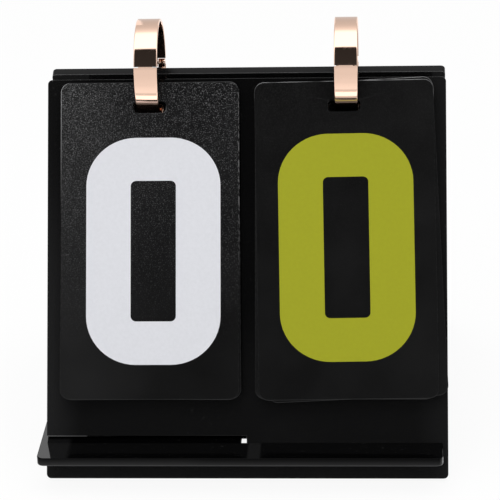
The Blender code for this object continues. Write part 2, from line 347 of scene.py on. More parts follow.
def makeTrayAcrylic():
    # Painted reflection: lighter at the left end and round the ends of the slots; real dust all
    # over
    look = trayLook
    face = acrylicFace("trayAcrylic", look)
    tree = face.tree
    away = combine(tree, "ABSOLUTE", combine(tree, "SUBTRACT", face.axis["X"], look["slotEnd"]))
    nearSlot = ramp(tree, away, *look["slotReach"])
    sheenMask = strongest(tree, (face.along(*look["leftEnd"]), nearSlot))
    face.colour(sheenedAndDusted(face, sheenMask, look))
    return face.material


def makeTrayCut():
    # Painted light: the cut is paler towards the underside, with a painted highlight line at its
    # lower edge
    look = trayLook
    edge = cutEdge("trayCutEdge", look)
    lower = combine(edge.tree, "POWER", edge.along(*look["footRise"]), look["footEase"])
    shaded = edge.blendColour(lower, look["cut"], look["foot"])
    edge.colour(edge.blendColour(edge.along(*look["paintedHighlightLine"]), shaded, look["paintedHighlight"]))
    return edge.material


cardLook = {
    # Painted light: face and sparkle colours grow lighter towards each sheet's outer side, a
    # painted sheen; points are painted glints; the left and right sheets are lit and shaded copies
    # of one sheet
    "left": {
        "face": ((0.0016, 0.0016, 0.0017), (0.0082, 0.0082, 0.0084)),  # at each end of "across"
        "sparkle": ((0.011, 0.011, 0.0115), (0.057, 0.057, 0.058)),
        "points": (0.14, 0.14, 0.143),
        "across": ("X", -0.026, -0.063),
    },
    "right": {
        "face": ((0.0017, 0.0017, 0.0018), (0.0034, 0.0034, 0.0035)),
        "sparkle": ((0.006, 0.006, 0.006), (0.006, 0.006, 0.006)),
        "points": (0.010, 0.010, 0.010),
        "across": ("X", 0.020, 0.064),
    },
    "shine": 0.2,
    "roughness": (0.32, 0.44),
    "patchGrain": {"Scale": 60.0, "Detail": 3.0, "Low": 0.35, "High": 0.7},
    "sparkleHeight": (0.0365, 0.1245),  # painted glints fade out downwards: none below, full above
    "sparkleEase": 1.5,
    "sparkleGrain": {"Scale": 1900.0, "Detail": 1.5, "Low": 0.47, "High": 0.70},
    "pointGrain": {"Scale": 3200.0, "Detail": 0.0, "Low": 0.62, "High": 0.74},
    "skinGrain": {"Scale": 1800.0, "Detail": 2.0, "Low": 0.3, "High": 0.7},
    "skinDepth": 0.00001,
}


def makeCardSheet(side):
    # The grain is real; the sparkle and points laid into the colour are painted glints, fading out
    # downwards, and the lighter outer side is painted sheen
    look = cardLook[side]
    roughness = cardLook["roughness"]
    sheet = Finish(side + "CardSheet", look["face"][0], roughness[0], shine=cardLook["shine"])
    tree = sheet.tree
    across = sheet.along(*look["across"])
    base = sheet.blendColour(across, *look["face"])
    glint = sheet.blendColour(across, *look["sparkle"])
    risen = ramp(tree, sheet.axis["Z"], *cardLook["sparkleHeight"], ease="LINEAR")
    risen = combine(tree, "POWER", risen, cardLook["sparkleEase"])
    sparkle = product(tree, (sheet.group(surfaceGrain, **cardLook["sparkleGrain"]), risen))
    points = product(tree, (sheet.group(surfaceGrain, **cardLook["pointGrain"]), risen))
    speckled = sheet.blendColour(sparkle, base, glint)
    sheet.colour(sheet.blendColour(points, speckled, look["points"]))
    sheet.roughen(sheet.group(surfaceGrain, **cardLook["patchGrain"]), *roughness)
    sheet.bump(sheet.group(surfaceGrain, **cardLook["skinGrain"]), cardLook["skinDepth"])
    return sheet.material


rimLook = {
    "colour": (0.006, 0.006, 0.0062),
    # painted highlight on the front cards' rims
    "paintedHighlight": (0.27, 0.27, 0.274),
    "shine": 0.2,
    "roughness": (0.18, 0.34),
    # breaks up the painted highlight at the right card's top
    "glintPatches": {"Scale": 110.0, "Detail": 2.0, "Low": 0.35, "High": 0.62},
    # real nicks for roughness and bump, and the break-up of the painted highlight at the inner side
    "nicksAndGlints": {"Scale": 700.0, "Detail": 1.0, "Low": 0.40, "High": 0.62},
    "nickDepth": 0.000004,
    "outerSide": (("X", -0.0600, -0.0632), ("Z", 0.085, 0.118)),
    "slotEnd": (
        ("X", -0.0282, -0.0274),
        ("X", -0.0258, -0.0262),
        ("Z", 0.1206, 0.1190, 0.4),
        ("Z", 0.10, 0.11),
    ),
    "innerSide": (("X", -0.0035, -0.0025), ("X", 0.0, -0.0008), ("Z", 0.06, 0.10, 0.5)),
    "rightTop": (("X", -0.006, 0.004, 0.7), ("Z", 0.1215, 0.1262)),
    "frontCards": (0.0037, 0.0040),  # how far they stand off the front panel
}


def makeCardRim():
    # The pressed edge round a card. The front cards' carry painted highlights: the left one's at
    # its outer side, at one end of its slot and here and there at its inner side, the right one's
    # at its top
    look = rimLook
    rim = Finish("cardRim", look["colour"], look["roughness"][0], shine=look["shine"])
    tree = rim.tree
    glintPatches = rim.group(surfaceGrain, **look["glintPatches"])
    nicksAndGlints = rim.group(surfaceGrain, **look["nicksAndGlints"])
    places = (
        rim.within(look["outerSide"]),
        rim.within(look["slotEnd"]),
        product(tree, (rim.within(look["innerSide"]), nicksAndGlints)),
        product(tree, (rim.within(look["rightTop"]), glintPatches)),
    )
    rise = combine(tree, "MULTIPLY", rim.axis["Z"], sinLean)
    out = combine(tree, "SUBTRACT", rise, combine(tree, "MULTIPLY", rim.axis["Y"], cosLean))
    off = combine(tree, "SUBTRACT", out, panelOut + axisHeight * sinLean)
    paintedHighlight = product(tree, (strongest(tree, places), ramp(tree, off, *look["frontCards"])))
    rim.colour(rim.blendColour(paintedHighlight, look["colour"], look["paintedHighlight"]))
    rim.roughen(nicksAndGlints, *look["roughness"])
    rim.bump(nicksAndGlints, look["nickDepth"])
    return rim.material


goldLook = {
    "colour": (0.86, 0.60, 0.47),
    "roughness": (0.04, 0.10),
    "wear": {"Scale": 400.0, "Detail": 3.0, "Low": 0.4, "High": 0.7},
    "marks": {"Along": (1.0, 0.08, 0.08), "Scale": 2400.0},
    "markDepth": 0.000004,
}


def makeRoseGold():
    look = goldLook
    metal = Finish("roseGold", look["colour"], look["roughness"][0], metallic=1.0)
    metal.roughen(metal.group(surfaceGrain, **look["wear"]), *look["roughness"])
    metal.bump(metal.group(fineScratches, **look["marks"]), look["markDepth"])
    return metal.material


inkLook = {
    "left": (0.718, 0.725, 0.764),
    "right": (0.336, 0.348, 0.008),
    "roughness": 0.45,
    "shine": 0.35,
    "uneven": {"Scale": 900.0, "Detail": 3.0, "Low": 0.3, "High": 0.75},
    "thinShare": 0.955,  # of the colour, where the ink is uneven
}


def makeInk(side):
    colour = inkLook[side]
    ink = Finish(side + "Ink", colour, inkLook["roughness"], shine=inkLook["shine"])
    thin = tuple(part * inkLook["thinShare"] for part in colour)
    uneven = ink.group(surfaceGrain, **inkLook["uneven"])
    ink.colour(ink.blendColour(uneven, colour, thin))
    return ink.material


panelFinish = (makePanelAcrylic(), cutEdge("panelCutEdge", panelLook).material)
trayFinish = (makeTrayAcrylic(), makeTrayCut())
cardRim = makeCardRim()
cardSheets = {side: makeCardSheet(side) for side in ("left", "right")}
roseGold = makeRoseGold()
inks = {side: makeInk(side) for side in ("left", "right")}
print("finishes made:", len(bpy.data.materials), "materials")


# Shapes

def addObject(name, mesh, *materials):
    made = bpy.data.objects.new(name, mesh)
    bpy.context.scene.collection.objects.link(made)
    for material in materials:
        mesh.materials.append(material)
    return made


def finishedMesh(shape, name):  # a plain mesh of what the modifiers leave
    graph = bpy.context.evaluated_depsgraph_get()
    mesh = bpy.data.meshes.new_from_object(shape.evaluated_get(graph))
    mesh.name = name
    bpy.data.objects.remove(shape, do_unlink=True)
    return mesh


def roundedOutline(width, height, corner, steps, middle=(0.0, 0.0)):
    points = []
    for turn, (sx, sy) in enumerate(((1, 1), (-1, 1), (-1, -1), (1, -1))):
        for step in range(steps + 1):
            angle = math.pi / 2 * (turn + step / steps)
            x = middle[0] + sx * (width / 2 - corner) + corner * math.cos(angle)
            y = middle[1] + sy * (height / 2 - corner) + corner * math.sin(angle)
            points.append((x, y))
    return points


def boxOutline(low, high):
    return [(low[0], low[1]), (high[0], low[1]), (high[0], high[1]), (low[0], high[1])]


def plateMesh(name, outline, thickness):
    work = bmesh.new()
    face = work.faces.new([work.verts.new((x, y, -thickness / 2)) for x, y in outline])
    top = bmesh.ops.extrude_face_region(work, geom=[face])["geom"]
    moved = [part for part in top if isinstance(part, bmesh.types.BMVert)]
    bmesh.ops.translate(work, verts=moved, vec=(0, 0, thickness))
    bmesh.ops.recalc_face_normals(work, faces=work.faces)
    mesh = bpy.data.meshes.new(name)
    work.to_mesh(mesh)
    work.free()
    return mesh


def addCut(shape, cutter, operation="DIFFERENCE"):
    cut = shape.modifiers.new("cut", "BOOLEAN")
    cut.operation = operation
    cut.solver = "EXACT"
    cut.object = cutter
    return cutter


def addBevel(shape, width):
    bevel = shape.modifiers.new("bevel", "BEVEL")
    bevel.width = width
    bevel.segments = stand["bevelSteps"]
    bevel.limit_method = "ANGLE"
    bevel.angle_limit = math.radians(stand["bevelAbove"])


# A plate with holes through it and softened edges, about its own middle
def cutPlate(name, outline, thickness, holes, bevel):
    shape = addObject(name, plateMesh(name, outline, thickness))
    cutters = []
    for hole in holes:
        cutter = plateMesh(name + "Hole", hole, thickness + 2 * stand["overrun"])
        cutters.append(addCut(shape, addObject(name + "Hole", cutter)))
    addBevel(shape, bevel)
    mesh = finishedMesh(shape, name)
    for cutter in cutters:
        bpy.data.objects.remove(cutter, do_unlink=True)
    return mesh


def splitEdges(mesh, steepest):
    # The second material goes on the cut sides, and on bevels under the given steepness
    for face in mesh.polygons:
        face.material_index = 1 if abs(face.normal.z) < steepest else 0


def placeOf(part):
    verts = [part] if isinstance(part, bmesh.types.BMVert) else part.verts
    return tuple(sum((vert.co for vert in verts), Vector()))


def putInOrder(mesh):  # insets and bevels come in another order on each run
    work = bmesh.new()
    work.from_mesh(mesh)
    for parts in (work.verts, work.edges, work.faces):
        ranks = {part: rank for rank, part in enumerate(sorted(parts, key=placeOf))}
        parts.sort(key=ranks.get)
    work.to_mesh(mesh)
    work.free()


def settle(mesh, place, smoothBelow=stand["smoothBelow"]):
    putInOrder(mesh)
    mesh.transform(place)
    mesh.shade_smooth()
    mesh.set_sharp_from_angle(angle=math.radians(smoothBelow))


def slotOutline(x, y):
    width, height, corner = stand["slot"]
    return roundedOutline(width, height, corner, stand["cornerSteps"], (x, y))


# Panels and tray

panels = {"width": 0.140, "corner": 0.0016, "bevel": 0.0002, "cutSlope": 0.1}


def makePanels():
    width, height = panels["width"], stand["panelHeight"]
    middle = (0, -panelTop - height / 2)
    outline = roundedOutline(width, height, panels["corner"], stand["cornerSteps"], middle)
    outer = math.sqrt(stand["ringOuter"] ** 2 - (panelOut - stand["sheet"]) ** 2)
    ringSlot = -(outer + stand["slotFit"] - stand["slot"][1] / 2)
    lapTop = slopeRun(panelOut - stand["sheet"], tray["top"]) - stand["lapTop"]
    lapBottom = slopeRun(panelOut, tray["top"] - stand["sheet"]) + stand["fit"]
    beyond = width / 2 + stand["overrun"]
    holes = [
        slotOutline(-stand["spacing"], ringSlot),
        slotOutline(stand["spacing"], ringSlot),
        boxOutline((-beyond, -lapBottom), (stand["lapEnd"], -lapTop)),
    ]
    blank = cutPlate("panel", outline, stand["sheet"], holes, panels["bevel"])
    splitEdges(blank, panels["cutSlope"])
    for name, node, side in (("frontPanel", "front_panel", -1), ("rearPanel", "rear_panel", 1)):
        mesh = blank.copy()
        piece = addObject(name, mesh, *panelFinish)
        settle(mesh, slopePlace(side, panelOut - stand["sheet"] / 2))
        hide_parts(node)
        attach(piece, "frame")


tray = {
    "width": 0.140,
    "top": 0.0132,
    "overhang": 0.0135,
    "corner": 0.0025,
    "relief": 0.0031,  # how far the slots' wide ends reach inwards
    "bevel": 0.00025,
    "cutSlope": 0.97,
}


def makeTray():
    reach = slopeReach(panelOut, tray["top"]) + tray["overhang"]
    outline = roundedOutline(tray["width"], 2 * reach, tray["corner"], stand["cornerSteps"])
    near = slopeReach(panelOut - stand["sheet"], tray["top"]) - stand["fit"]
    far = slopeReach(panelOut, tray["top"] - stand["sheet"]) + stand["fit"]
    start, beyond = -stand["lapEnd"], tray["width"] / 2 + stand["overrun"]
    end = stand["pull"] + stand["lapEnd"]
    short, into = near - tray["relief"], near + stand["overrun"]
    holes = [
        boxOutline((start, -far), (beyond, -near)),
        boxOutline((start, near), (beyond, far)),
        boxOutline((start, -into), (end, -short)),  # the slots' short wide ends
        boxOutline((start, short), (end, into)),
    ]
    mesh = cutPlate("tray", outline, stand["sheet"], holes, tray["bevel"])
    splitEdges(mesh, tray["cutSlope"])
    piece = addObject("trayPlate", mesh, *trayFinish)
    settle(mesh, Matrix.Translation((-panelX, 0, tray["top"] - stand["sheet"] / 2)))
    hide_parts("tray")
    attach(piece, "tray")


makePanels()
makeTray()
print("panels and tray made")


# A bar of rounded section swept along a path, for the ring bands and the digits' strokes

def makeSweep():
    tree = bpy.data.node_groups.new("sweptBar", "GeometryNodeTree")
    sockets = (
        ("Geometry", "NodeSocketGeometry"),
        ("Across", "NodeSocketFloat"),
        ("Upright", "NodeSocketFloat"),
        ("Edge Radius", "NodeSocketFloat"),
        ("Edge Steps", "NodeSocketInt"),
        ("Corner Radius", "NodeSocketFloat"),
        ("Corner Steps", "NodeSocketInt"),
        ("Material", "NodeSocketMaterial"),
    )
    names = {}
    for label, kind in sockets:
        names[label] = tree.interface.new_socket(label, in_out="INPUT", socket_type=kind).identifier
    tree.interface.new_socket("Geometry", in_out="OUTPUT", socket_type="NodeSocketGeometry")
    given = tree.nodes.new("NodeGroupInput")
    out = tree.nodes.new("NodeGroupOutput")
    path = tree.nodes.new("GeometryNodeMeshToCurve")
    corners = tree.nodes.new("GeometryNodeFilletCurve")
    corners.mode = "POLY"
    upright = tree.nodes.new("GeometryNodeSetCurveNormal")
    upright.mode = "Z_UP"
    section = tree.nodes.new("GeometryNodeCurvePrimitiveQuadrilateral")
    edges = tree.nodes.new("GeometryNodeFilletCurve")
    edges.mode = "POLY"
    sweep = tree.nodes.new("GeometryNodeCurveToMesh")
    sweep.inputs["Fill Caps"].default_value = True
    whole = tree.nodes.new("GeometryNodeRealizeInstances")
    paint = tree.nodes.new("GeometryNodeSetMaterial")
    for source, sink in (
        (given.outputs["Geometry"], path.inputs["Mesh"]),
        (path.outputs["Curve"], corners.inputs["Curve"]),
        (given.outputs["Corner Radius"], corners.inputs["Radius"]),
        (given.outputs["Corner Steps"], corners.inputs["Count"]),
        (corners.outputs["Curve"], upright.inputs["Curve"]),
        (upright.outputs["Curve"], sweep.inputs["Curve"]),
        (given.outputs["Across"], section.inputs["Width"]),
        (given.outputs["Upright"], section.inputs["Height"]),
        (section.outputs["Curve"], edges.inputs["Curve"]),
        (given.outputs["Edge Radius"], edges.inputs["Radius"]),
        (given.outputs["Edge Steps"], edges.inputs["Count"]),
        (edges.outputs["Curve"], sweep.inputs["Profile Curve"]),
        (sweep.outputs["Mesh"], whole.inputs["Geometry"]),
        (whole.outputs["Geometry"], paint.inputs["Geometry"]),
        (given.outputs["Material"], paint.inputs["Material"]),
        (paint.outputs["Geometry"], out.inputs["Geometry"]),
    ):
        tree.links.new(source, sink)
    return tree, names


sweptBar, sweepInputs = makeSweep()


# Paths are lists of points on XY, each with True after it if it is closed
def sweptMesh(name, paths, material, **values):
    points, edges = [], []
    for path, closed in paths:
        first = len(points)
        points += [(x, y, 0.0) for x, y in path]
        edges += [(first + index, first + index + 1) for index in range(len(path) - 1)]
        if closed:
            edges.append((len(points) - 1, first))
    wire = bpy.data.meshes.new(name + "Path")
    wire.from_pydata(points, edges, [])
    shape = addObject(name, wire)
    sweep = shape.modifiers.new("sweep", "NODES")
    sweep.node_group = sweptBar
    sweep[sweepInputs["Material"]] = material
    for label, value in values.items():
        sweep[sweepInputs[label.replace("_", " ")]] = value
    return finishedMesh(shape, name)


# Rings

rings = {
    "width": 0.0082,
    "edge": 0.00042,
    "tilt": math.radians(12),
    "snapRise": math.radians(7),
    "gap": 0.0003,
    "inset": 0.00003,  # its finer steps reach further out than the solid's
    "drift": {"left": 0.0002, "right": 0.0007},
    "steps": 96,
    "edgeSteps": 5,
    "barrelRadius": 0.0015,
    "barrelMiddle": 0.0022,
    "barrelLength": 0.00766,
    "barrelReach": 0.0169,
    "barrelRoom": 0.00023,
    "barrelEdge": 0.00012,
    "barrelSteps": 40,
    "barrelEdgeSteps": 3,
    "rimAngle": 1.0,  # radians: round a bar's ends, but not along it
    "pinRadius": 0.0005,
    "pinLength": 0.00786,
    "pinEdge": 0.0001,
    "pinFit": 0.0001,
    "tongue": (0.005, 0.00035, 0.0016),  # width, thickness and length
    "tongueInset": 0.00005,
    "tongueFit": 0.00025,
    "smoothBelow": 32,
}


def bandHalf(name, start, end):
    middle = (stand["ringOuter"] + stand["ringInner"]) / 2 - rings["inset"]
    short = math.asin(rings["gap"] / 2 / middle)
    start, end = start + short, end - short
    angles = [start + (end - start) * step / rings["steps"] for step in range(rings["steps"] + 1)]
    path = [(middle * math.cos(angle), middle * math.sin(angle)) for angle in angles]
    mesh = sweptMesh(
        name,
        [(path, False)],
        roseGold,
        Across=stand["ringOuter"] - stand["ringInner"],
        Upright=rings["width"],
        Edge_Radius=rings["edge"],
        Edge_Steps=rings["edgeSteps"],
        Corner_Radius=0.0,
        Corner_Steps=1,
    )
    mesh.transform(Matrix.Rotation(math.pi / 2, 4, "Y"))
    return mesh


def barMesh(name, radius, ends, bevel=0.0):  # a round bar on the hinge's axis
    first, second = ends
    work = bmesh.new()
    place = Matrix.Translation(((first + second) / 2, rings["barrelReach"], 0))
    bmesh.ops.create_cone(
        work,
        cap_ends=True,
        segments=rings["barrelSteps"],
        radius1=radius,
        radius2=radius,
        depth=second - first,
        matrix=place @ Matrix.Rotation(math.pi / 2, 4, "Y"),
    )
    if bevel:
        rims = [edge for edge in work.edges if edge.calc_face_angle() > rings["rimAngle"]]
        steps = rings["barrelEdgeSteps"]
        bmesh.ops.bevel(work, geom=rims, offset=bevel, segments=steps, profile=0.5, affect="EDGES")
    mesh = bpy.data.meshes.new(name)
    work.to_mesh(mesh)
    work.free()
    return mesh


def barrelMesh(ends):  # a bored hinge barrel, turned from its section
    soft, radius, reach = rings["barrelEdge"], rings["barrelRadius"], rings["barrelReach"]
    bore = rings["pinRadius"] + rings["pinFit"]
    steps = rings["barrelEdgeSteps"]
    arc = [math.pi / 2 * step / steps for step in range(steps + 1)]
    section = [(ends[1], bore), (ends[0], bore)]
    for end, inward, angles in ((ends[0], soft, arc), (ends[1], -soft, arc[::-1])):
        for angle in angles:
            x = end + inward * (1 - math.cos(angle))
            section.append((x, radius - soft * (1 - math.sin(angle))))
    work = bmesh.new()
    rows = []
    for step in range(rings["barrelSteps"]):
        angle = math.tau * step / rings["barrelSteps"]
        places = [(x, reach + r * math.cos(angle), r * math.sin(angle)) for x, r in section]
        rows.append([work.verts.new(place) for place in places])
    for row, following in zip(rows, rows[1:] + rows[:1]):
        for index in range(len(section)):
            work.faces.new((row[index - 1], row[index], following[index], following[index - 1]))
    bmesh.ops.recalc_face_normals(work, faces=work.faces)
    mesh = bpy.data.meshes.new("barrel")
    work.to_mesh(mesh)
    work.free()
    return mesh


def boxMesh(name, low, high):
    work = bmesh.new()
    bmesh.ops.create_cube(work, size=1.0)
    size, middle = Vector(high) - Vector(low), (Vector(high) + Vector(low)) / 2
    place = Matrix.Translation(middle) @ Matrix.Diagonal((*size, 1.0))
    bmesh.ops.transform(work, matrix=place, verts=work.verts)
    mesh = bpy.data.meshes.new(name)
    work.to_mesh(mesh)
    work.free()
    return mesh


def joined(name, meshes):
    work = bmesh.new()
    for mesh in meshes:
        work.from_mesh(mesh)
    whole = bpy.data.meshes.new(name)
    work.to_mesh(whole)
    work.free()
    return whole


def makeRing(side, sign):
    x = panelX + sign * stand["spacing"] + rings["drift"][side]
    pivot = Matrix.Translation((x, 0, axisHeight)) @ Matrix.Rotation(-rings["tilt"], 4, "X")
    inner, outer = rings["barrelMiddle"] / 2, rings["barrelLength"] / 2
    near, beyond = inner + rings["gap"], rings["width"] / 2 + stand["overrun"]
    room, roomRadius = rings["barrelRoom"], rings["barrelRadius"] + rings["gap"]
    width, thick, length = rings["tongue"]
    fit, back = rings["tongueFit"], -stand["ringInner"] - rings["tongueInset"]
    atSnap = Matrix.Rotation(-rings["snapRise"], 4, "X")
    halves = {
        "lower": {
            "arc": (-math.pi / 2 - rings["snapRise"], math.pi / 2),
            "rooms": ((-inner - room, inner + room),),
            "barrels": ((-outer, -near), (near, outer)),
            "body": side + "_ring",
        },
        "upper": {
            "arc": (math.pi / 2, math.pi * 3 / 2 - rings["snapRise"]),
            "rooms": ((-beyond, -near + room), (near - room, beyond)),
            "barrels": ((-inner, inner),),
            "body": side + "_ring_gate",
        },
    }
    for half, made in halves.items():
        name = side + "Ring" + half.capitalize()
        shape = addObject(name, bandHalf(name, *made["arc"]))
        cutters = [barMesh("room", roomRadius, ends) for ends in made["rooms"]]
        cutters.append(barMesh("bore", rings["pinRadius"] + rings["pinFit"], (-beyond, beyond)))
        if half == "lower":
            low = (-width / 2 - fit, back - thick - fit, -length - fit)
            seat = boxMesh("seat", low, (width / 2 + fit, back + stand["overrun"], length))
            seat.transform(atSnap)
            cutters.append(seat)
        cutters = [addCut(shape, addObject(cutter.name, cutter)) for cutter in cutters]
        band = finishedMesh(shape, name + "Band")
        for cutter in cutters:
            bpy.data.objects.remove(cutter, do_unlink=True)
        parts = [band] + [barrelMesh(ends) for ends in made["barrels"]]
        if half == "upper":
            low = (-width / 2, back - thick, -length)
            tongue = boxMesh("tongue", low, (width / 2, back, length / 2))
            tongue.transform(atSnap)
            parts.append(tongue)
        mesh = joined(name, parts)
        piece = addObject(name, mesh, roseGold)
        for face in mesh.polygons:
            face.material_index = 0
        settle(mesh, pivot, rings["smoothBelow"])
        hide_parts(side + "_ring_" + half)
        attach(piece, made["body"])
    ends = (-rings["pinLength"] / 2, rings["pinLength"] / 2)
    pin = barMesh(side + "RingPin", rings["pinRadius"], ends, rings["pinEdge"])
    piece = addObject(side + "RingPin", pin, roseGold)
    settle(pin, pivot, rings["smoothBelow"])
    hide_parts(side + "_ring_pin")
    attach(piece, side + "_ring")


for side, sign in (("left", -1), ("right", 1)):
    makeRing(side, sign)
print("rings made")


# Cards and their digits

cards = {
    "count": 10,
    "width": 0.0624,
    "corner": 0.0034,
    "cornerSteps": 10,
    "sheet": 0.0002,
    "gap": 0.00027,
    "strip": 0.0065,
    "lift": 0.01487,
    "rim": (0.00018, 0.000075),  # width and fall of the pressed edge round the front face
    "flat": 0.1,  # how far off its direction a face of the blank may be
    "drift": {"left": 0.001, "right": -0.0001},
    "turnsDeg": {
        "left": (0.0, 0.4, -0.2, 0.3, -0.3, 0.2, 0.0, -0.2, 0.1, 0.0),
        "right": (0.75, 2.6, 0.9, 0.4, 0.6, 0.1, 0.3, -0.1, 0.2, 0.0),
    },
}
digits = {
    "stroke": 0.0156,
    "halfWidth": 0.0157,  # to the middle of the stroke
    "halfHeight": 0.03315,
    "flatten": 0.968,  # level strokes are a little thinner than upright ones
    "hookShare": 0.42,  # of the half height, where the ends of 2, 3, 5, 6 and 9 stop
    "corner": 0.0097,
    "cornerSteps": 14,
    "film": 0.00004,
    "middle": {"left": (0.0013, -0.0505), "right": (0.0001, -0.0495)},  # from the slot's middle
}


def digitPaths(number):
    a, b, w = digits["halfWidth"], digits["halfHeight"], digits["stroke"] / 2
    hook = b * digits["hookShare"]
    ring = [(-a, -b), (a, -b), (a, b), (-a, b)]
    return {
        0: [(ring, True)],
        1: [([(-a, b), (0, b), (0, -b - w)], False)],
        2: [([(-a, hook), (-a, b), (a, b), (a, 0), (-a, 0), (-a, -b), (a + w, -b)], False)],
        3: [
            ([(-a, hook), (-a, b), (a, b), (a, -b), (-a, -b), (-a, -hook)], False),
            ([(-a / 3, 0), (a - w, 0)], False),
        ],
        4: [([(-a, b + w), (-a, 0), (a - w, 0)], False), ([(a, b + w), (a, -b - w)], False)],
        5: [([(a + w, b), (-a, b), (-a, 0), (a, 0), (a, -b), (-a, -b), (-a, -hook)], False)],
        6: [([(a, hook), (a, b), (-a, b), (-a, -b), (a, -b), (a, 0), (w - a, 0)], False)],
        7: [([(-a - w, b), (a, b), (a, -b - w)], False)],
        8: [(ring, True), ([(w - a, 0), (a - w, 0)], False)],
        9: [([(-a, -hook), (-a, -b), (a, -b), (a, b), (-a, b), (-a, 0), (a - w, 0)], False)],
    }[number]


def bySlot(place):  # along the slot's level sides
    width, height, corner = stand["slot"]
    return abs(place.x) < width / 2 - corner / 2 and abs(place.y) < height / 2 + corner


def cardBlank(outline):
    shape = addObject("card", plateMesh("card", outline, cards["sheet"]))
    cutter = plateMesh("cardHole", slotOutline(0, 0), 2 * stand["overrun"])
    hole = addObject("cardHole", cutter)
    addCut(shape, hole)
    mesh = finishedMesh(shape, "card")
    bpy.data.objects.remove(hole, do_unlink=True)
    work = bmesh.new()
    work.from_mesh(mesh)
    front = [face for face in work.faces if face.normal.z > 1 - cards["flat"]]
    sides = [face for face in work.faces if abs(face.normal.z) < cards["flat"]]
    width, fall = cards["rim"]
    rim = bmesh.ops.inset_region(work, faces=front, thickness=width, use_even_offset=True)["faces"]
    for face in rim + sides:
        face.material_index = 0 if bySlot(face.calc_center_median()) else 1
    for vert in {vert for face in sides for vert in face.verts}:
        if vert.co.z > 0 and not bySlot(vert.co):
            vert.co.z -= fall
    work.to_mesh(mesh)
    work.free()
    return mesh


def makeCards():
    pitch = cards["sheet"] + cards["gap"]
    front = panelOut + stand["fit"] + (cards["count"] - 1) * pitch + cards["sheet"]
    slotTop = math.sqrt(stand["ringInner"] ** 2 - front**2) - stand["slotFit"]
    height = slopeRun(front, tray["top"] + cards["lift"]) - slotTop + cards["strip"]
    slotHeight = stand["slot"][1]
    middle = (0.0, slotHeight / 2 + cards["strip"] - height / 2)
    width, steps = cards["width"], cards["cornerSteps"]
    blank = cardBlank(roundedOutline(width, height, cards["corner"], steps, middle))
    for side, sign in (("left", -1), ("right", 1)):
        x = sign * stand["spacing"] + cards["drift"][side]
        dx, dy = digits["middle"][side]
        for number in range(cards["count"]):
            out = front - cards["sheet"] / 2 - number * pitch
            hang = slopePlace(-1, 0) @ Matrix.Translation((x, -slotTop - slotHeight / 2, out))
            turn = Matrix.Rotation(math.radians(cards["turnsDeg"][side][number]), 4, "Z")
            body = f"{side}_card_{number}"
            mesh = blank.copy()
            piece = addObject(f"{side}Card{number}", mesh, cardSheets[side], cardRim)
            settle(mesh, hang @ turn)
            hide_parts(body)
            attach(piece, body)
            stroke = sweptMesh(
                f"{side}Digit{number}",
                digitPaths(number),
                inks[side],
                Across=digits["stroke"],
                Upright=digits["film"],
                Edge_Radius=0.0,
                Edge_Steps=1,
                Corner_Radius=digits["corner"],
                Corner_Steps=digits["cornerSteps"],
            )
            ink = addObject(f"{side}Digit{number}", stroke)
            printed = Matrix.Translation((dx, dy, cards["sheet"] / 2 + digits["film"] / 2))
            printed = printed @ Matrix.Diagonal((1.0, digits["flatten"], 1.0, 1.0))
            settle(stroke, hang @ turn @ printed)
            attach(ink, body)


makeCards()
print("cards and digits made")


# Table, lights and camera

studio = {
    "floorSize": 5.0,
    "floorLevels": (-0.01, -0.0001),
    "floorColour": (0.86, 0.86, 0.86),
    "floorRoughness": 0.6,
    "shadowShare": 0.08,
    "wallLight": 0.52,
    # What shiny pieces see of the room: height over the horizon in front in degrees, brightness
    "room": (
        (-90, 1.2), (-30, 1.17), (-20, 1.03), (-10, 0.98), (0, 0.93), (12, 0.93), (17, 0.80),
        (19.6, 0.78), (21.6, 0.035), (62.5, 0.03), (65.0, 2.0), (104, 1.95), (110, 1.5),
        (112, 1.25), (117, 1.05), (125, 0.85), (134, 0.75), (150, 0.68), (180, 0.68), (240, 0.9),
    ),
    "roomSeam": -120.0,  # heights under this one are behind, and count on past 180
    # and of the table: metres in front of the middle of the stand, brightness
    "table": (
        (0.0, 0.05), (0.054, 0.12), (0.062, 0.95), (0.078, 0.95), (0.084, 0.6), (0.097, 0.6),
        (0.103, 1.8), (0.143, 1.8), (0.150, 0.87), (0.176, 0.87), (0.188, 1.22), (0.24, 1.16),
        (0.37, 1.03), (0.75, 0.98), (1.5, 0.95),
    ),
    "leftCloser": ("X", -0.015, -0.025, 0.2),
    # A bright place on the table, beside the stand
    "beside": (
        ("X", 0.070, 0.074),
        ("X", 0.100, 0.095),
        ("Y", -0.048, -0.052, 2.6),
        ("Y", -0.082, -0.078),
    ),
    # The room's walls: how far to the side they start and are full, and their brightness
    "sideWalls": {"aside": (0.35, 0.6), "bright": 0.45},
    "backWall": {"aside": (0.115, 0.145), "bright": 1.15, "from": 0.75},
    # Ray depths: under the first a plain reflection, over the second a reflection's reflection
    "depths": (1.5, 2.5),
    "secondLook": 0.12,
}


